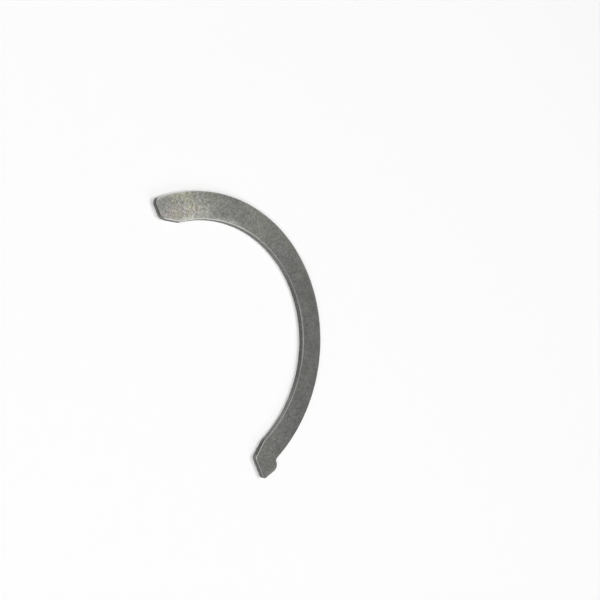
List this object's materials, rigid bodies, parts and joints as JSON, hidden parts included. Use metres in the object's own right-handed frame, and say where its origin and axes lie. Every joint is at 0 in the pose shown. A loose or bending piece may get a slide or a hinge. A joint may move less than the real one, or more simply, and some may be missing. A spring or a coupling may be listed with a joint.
{
  "type": "half thrust washer",
  "caption": "Flat half-ring steel thrust washer with slanted reliefs at its ends and a locating tab, taking a shaft's end thrust beside its journal.",
  "frame": {"origin": "centre of the ring, on the axis of the journal, at the level of the lower face", "axes": "+X along the end faces towards the tab, +Y through the crown of the arc, +Z along the journal's axis"},
  "size_m": [0.1383, 0.0673, 0.003],
  "materials": {
    "matte_steel": "matte grey stamped steel with bright worn edges and a paler, faintly stained patch at the plain end"
  },
  "bodies": {
    "root": {"thrust_washer": "matte_steel"}
  },
  "joints": []
}
